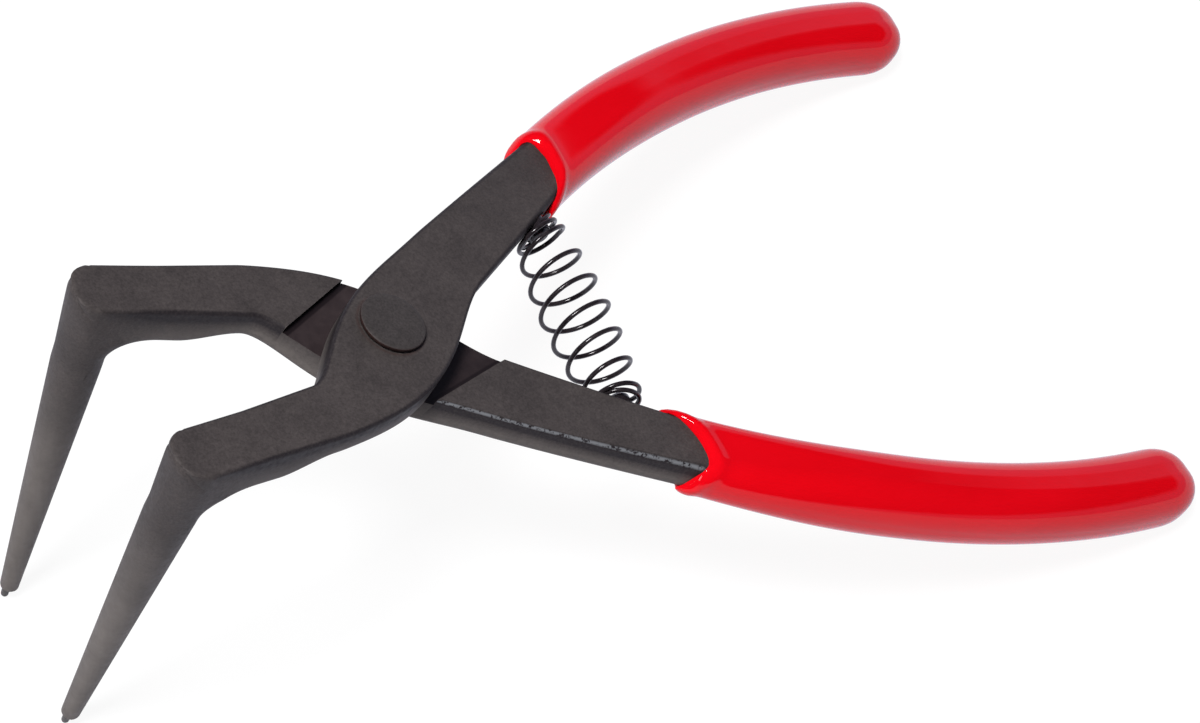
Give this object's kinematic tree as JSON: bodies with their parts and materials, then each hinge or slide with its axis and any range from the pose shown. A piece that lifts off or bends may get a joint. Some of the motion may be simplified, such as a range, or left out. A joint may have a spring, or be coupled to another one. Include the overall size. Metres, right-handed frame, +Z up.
{
  "type": "circlip pliers",
  "caption": "Internal circlip pliers with long legs bent down at the jaws, crossed levers on a rivet, dipped grips and a barrel return spring.",
  "frame": {"origin": "on the ground under the middle of the tool's box, with the tool standing on its tip pins and its grip ends", "axes": "+X from the legs towards the handles, +Y towards the handle of the front lever, +Z up"},
  "size_m": [0.1938, 0.1168, 0.0835],
  "materials": {
    "lever_steel": "dark phosphate over a forged surface, satin",
    "grip_vinyl": "glossy dipped red vinyl",
    "spring_wire": "blackened wire, glossy",
    "pin_steel": "ground steel, satin"
  },
  "bodies": {
    "rear_half": {"rear_lever": "lever_steel", "rear_grip": "grip_vinyl", "rear_spring_peg": "spring_wire", "rear_tip_pin": "pin_steel", "pivot_rivet": "lever_steel", "return_spring": "spring_wire"},
    "front_half": {"front_lever": "lever_steel", "front_grip": "grip_vinyl", "front_spring_peg": "spring_wire", "front_tip_pin": "pin_steel"}
  },
  "joints": [
    {"name": "lever_pivot", "type": "hinge", "parent": "rear_half", "child": "front_half", "pos_m": [-0.0384, 0, 0.05987], "axis": [-0.3893, 0, -0.9211], "range_deg": [0, 30], "stiffness_Nm_per_rad": 0.9, "springref_deg": -4.58, "deforming": ["return_spring"]}
  ]
}
